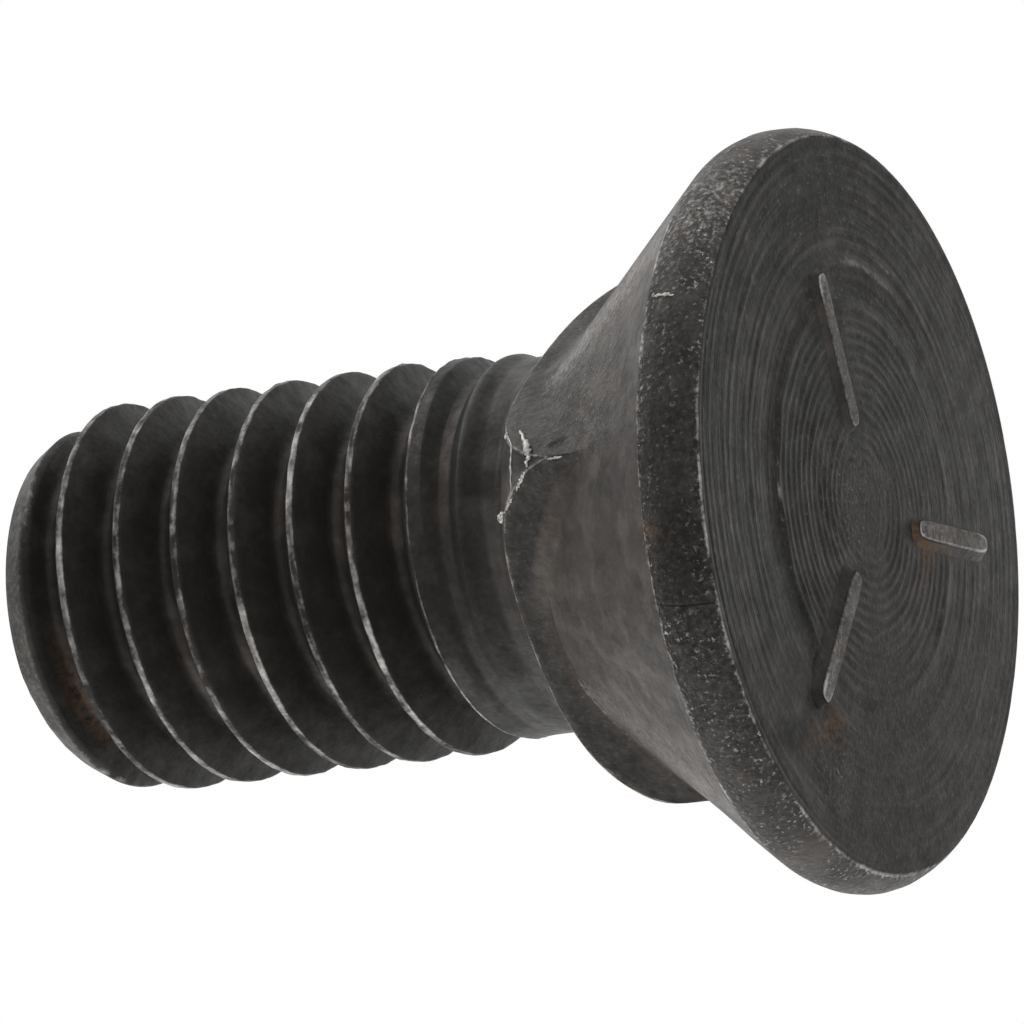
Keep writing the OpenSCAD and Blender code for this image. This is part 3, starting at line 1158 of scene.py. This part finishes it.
# %% Tone and gloss
OXIDE = (0.0153, 0.0143, 0.0130, 1)
BROWN_OXIDE = (0.072, 0.055, 0.044, 1)
PALE_OXIDE_AND_SHEEN = (0.077, 0.070, 0.065, 1)
BARE_STEEL_AND_SHEEN = (0.42, 0.405, 0.39, 1)
LIGHT_OXIDE_AND_SHEEN = (0.135, 0.117, 0.102, 1)
RUST = (0.165, 0.102, 0.060, 1)

# The pale mark carries painted reflection and highlights as well as paler oxide; lower gloss from the dull
# mark also paints shade in the dent.
colour = blend(mark("pale"), OXIDE, PALE_OXIDE_AND_SHEEN)
rough_tone = times(work("ADD", reach(grain, 0.43, 0.58), reach(grit, 0.45, 0.58)), 0.40)
colour = blend(times(rough_tone, reach(mark("pit"), 0.0, 0.6)), colour, PALE_OXIDE_AND_SHEEN)
colour = blend(times(mark("brown"), reach(fine, 0.28, 0.52)), colour, BROWN_OXIDE)
dark_tone = times(reach(fine, 0.42, 0.66), reach(broad, 0.35, 0.65, 0.2, 0.6))
colour = blend(dark_tone, colour, OXIDE)
light_tone = times(reach(cloudy, 0.48, 0.64, 0.0, 0.5), mark("pale"))
colour = blend(light_tone, colour, LIGHT_OXIDE_AND_SHEEN)
colour = blend(rusty, colour, RUST)
colour = blend(bare_and_sheen, colour, BARE_STEEL_AND_SHEEN)
colour = blend(knock, colour, OXIDE)
rough = work("ADD", reach(fine, 0.3, 0.7, 0.36, 0.52), times(rusty, 0.25))
shine = reach(mark("dull"), 0.0, 1.0, 1.02, 0.30)
gloss = times(reach(grit, 0.30, 0.70, 0.09, 0.19), shine)
gloss = times(gloss, reach(cloudy, 0.35, 0.65, 0.78, 1.3))
print(len(black_oxide.node_tree.nodes), "nodes with tone and gloss")

# %% Height and shader
LAYERS = (
    (work("ADD", rings, times(dashes, 0.35)), times(mark("turned"), 0.042)),
    (fine, 0.016),
    (knock, -0.10),
    (grit, work("ADD", times(mark("pit"), 0.08), 0.008)),
    (grain, times(mark("pit"), 0.16)),
    (work("ADD", cloudy, fine), times(mark("pale"), 0.05)),
    (dots, times(mark("pit"), 0.02)),
)
height = 0.0
for layer, share in LAYERS:
    height = work("ADD", height, times(layer, share))
bump = add("ShaderNodeBump", {"Height": height, "Strength": 1.0, "Distance": MM}).outputs["Normal"]
shader = add("ShaderNodeBsdfPrincipled", {
    "Base Color": colour,
    "Metallic": bare_and_sheen,
    "Roughness": rough,
    "Normal": bump,
    "Specular IOR Level": gloss,
})
add("ShaderNodeOutputMaterial", {"Surface": shader.outputs[0]})
for piece in (bolt, lines, burrs):
    piece.data.materials.append(black_oxide)
print(len(black_oxide.node_tree.nodes), "nodes in", black_oxide.name)

# %% [markdown]
# ## Floor and light
# The picture shows the bolt alone on white. A white world is seen by the camera and by reflections,
# while it lights the bolt a little less, and soft lamps give the forms a direction. The bolt stands
# on its head on a pale floor. This camera looks from below that floor, so only camera rays from
# above see it, and its shadow shows from every other side.

# %% Floor
FLOOR_Z = -LINE_H - 0.03
FLOOR_HALF = 900.0

floor_corners = np.array([(-1, -1), (1, -1), (1, 1), (-1, 1)]) * FLOOR_HALF
floor_points = np.column_stack([floor_corners, np.full(4, FLOOR_Z)])
floor = mesh_piece("floor", floor_points, [np.arange(4).reshape(1, 4)], {})
print("floor", round(-FLOOR_Z, 2), "mm below the face")

# %% Finish of the floor
FLOOR_COLOUR = (0.84, 0.84, 0.835, 1)

floor_finish = bpy.data.materials.new("pale_floor")
# From here on, the short helpers add their nodes to this tree.
add = start_nodes(floor_finish)
seen = add("ShaderNodeLightPath").outputs["Is Camera Ray"]
above = work("SUBTRACT", 1.0, add("ShaderNodeNewGeometry").outputs["Backfacing"])
matt = add("ShaderNodeBsdfDiffuse", {"Color": FLOOR_COLOUR}).outputs[0]
clear = add("ShaderNodeBsdfTransparent").outputs[0]
mixed = add("ShaderNodeMixShader", {0: times(seen, above), 1: clear, 2: matt}).outputs[0]
add("ShaderNodeOutputMaterial", {"Surface": mixed})
floor.data.materials.append(floor_finish)
print(len(floor_finish.node_tree.nodes), "nodes in", floor_finish.name)

# %% White world
AMBIENT = 0.55

world = bpy.data.worlds.new("white_room")
bpy.context.scene.world = world
add = start_nodes(world)
ray = add("ShaderNodeLightPath").outputs
mirrored = work("MAXIMUM", ray["Is Glossy Ray"], ray["Is Transmission Ray"])
seen = work("MAXIMUM", ray["Is Camera Ray"], mirrored)
level = reach(seen, 0.0, 1.0, AMBIENT, 1.0)
back = add("ShaderNodeBackground", {"Color": (1, 1, 1, 1), "Strength": level}).outputs[0]
add("ShaderNodeOutputWorld", {"Surface": back})
print("the world lights the bolt at", AMBIENT, "of what is seen")


# %% Soft lamps
def soft_lamp(name, toward_lamp, distance, size, share):
    """A square lamp that faces the bolt. Its watts are pi squared times the distance squared times the
    share of full white that it gives a matt white surface turned to it."""
    lamp = bpy.data.objects.new(name, bpy.data.lights.new(name, "AREA"))
    lamp.data.size = size
    lamp.data.energy = math.pi ** 2 * distance ** 2 * share
    way = Vector(toward_lamp).normalized()
    lamp.location = way * distance + Vector((0, 0, LENGTH / 2 * MM))
    lamp.rotation_mode = "QUATERNION"
    lamp.rotation_quaternion = (-way).to_track_quat("-Z", "Y")
    bpy.context.collection.objects.link(lamp)
    return lamp


key = soft_lamp("key_lamp", (0.50, -0.75, 0.75), 0.6, 0.5, 0.35)
fill = soft_lamp("fill_lamp", (-0.5, 0.75, 0.35), 0.7, 0.6, 0.45)
print("lamps of", round(key.data.energy, 2), "and", round(fill.data.energy, 2), "watts")
